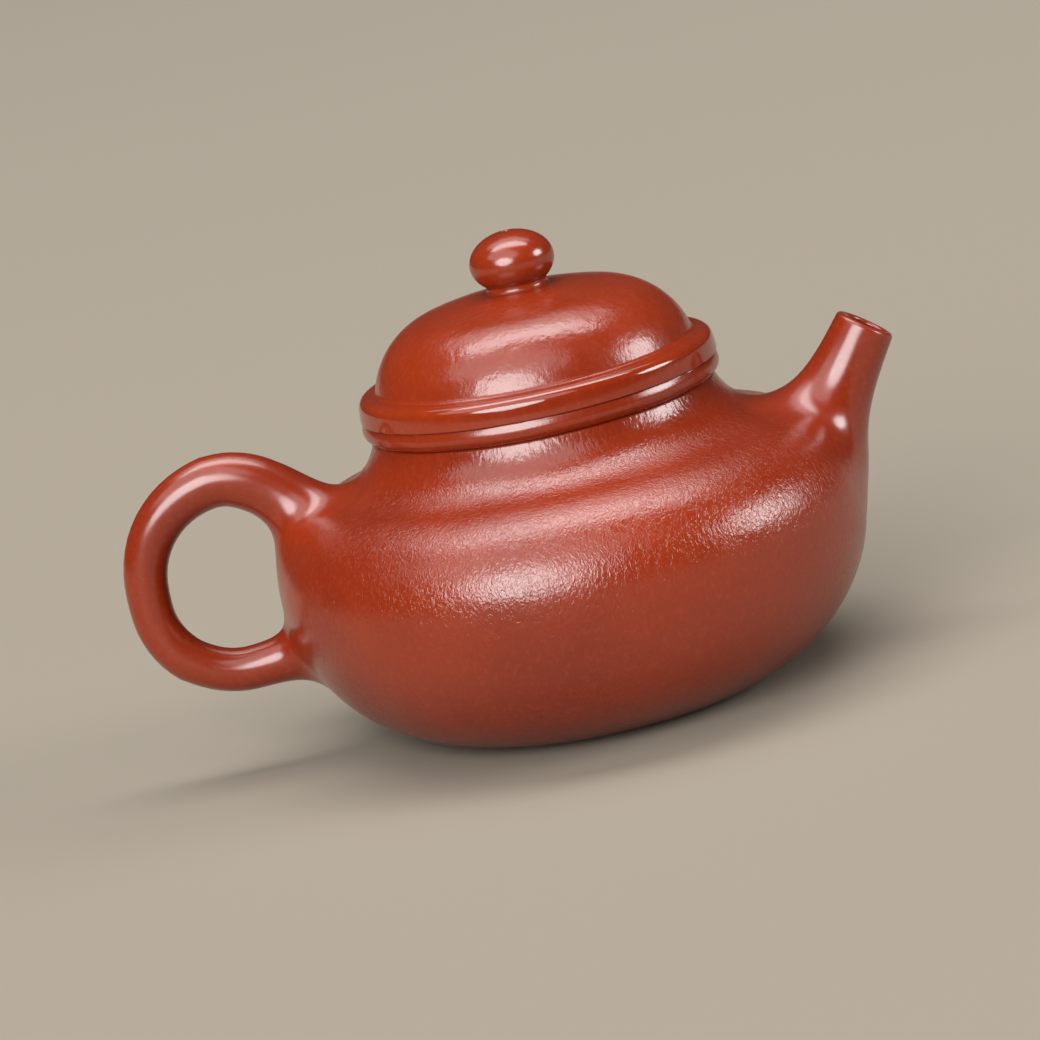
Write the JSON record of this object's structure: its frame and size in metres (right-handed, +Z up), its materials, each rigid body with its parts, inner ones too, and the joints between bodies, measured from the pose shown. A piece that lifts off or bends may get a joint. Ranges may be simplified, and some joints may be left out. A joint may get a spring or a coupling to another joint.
{
  "type": "clay teapot",
  "caption": "Squat drum-bellied red clay teapot with a ring handle, a short straight spout and a domed lift-off lid with a ball knob.",
  "frame": {"origin": "centre of the foot ring, in the plane that the pot stands on, on the axis of the pot and lid", "axes": "+Z up along the axis of the pot, +X towards the spout, the handle at -X"},
  "size_m": [0.1229, 0.0906, 0.0737],
  "materials": {
    "pear_skin_clay": "fired red clay, satin, fine pear-skin wrinkle",
    "burnished_clay": "fired red clay, burnished smooth, satin gloss",
    "plain_clay": "fired red clay, unburnished, matt"
  },
  "bodies": {
    "pot": {"base_disc": "plain_clay", "lower_wall": "pear_skin_clay", "upper_wall": "pear_skin_clay", "shoulder_disc": "pear_skin_clay", "neck_ring": "pear_skin_clay", "mouth_rim": "burnished_clay", "spout": "burnished_clay", "spout_strainer": "plain_clay", "handle": "burnished_clay"},
    "lid": {"lid_flange": "burnished_clay", "lid_collar": "plain_clay", "lid_dome": "pear_skin_clay", "lid_knob": "burnished_clay"}
  },
  "joints": [
    {"name": "lid_lift", "type": "slide", "parent": "pot", "child": "lid", "axis": [0, 0, 1], "range_m": [0, 0.06]}
  ]
}
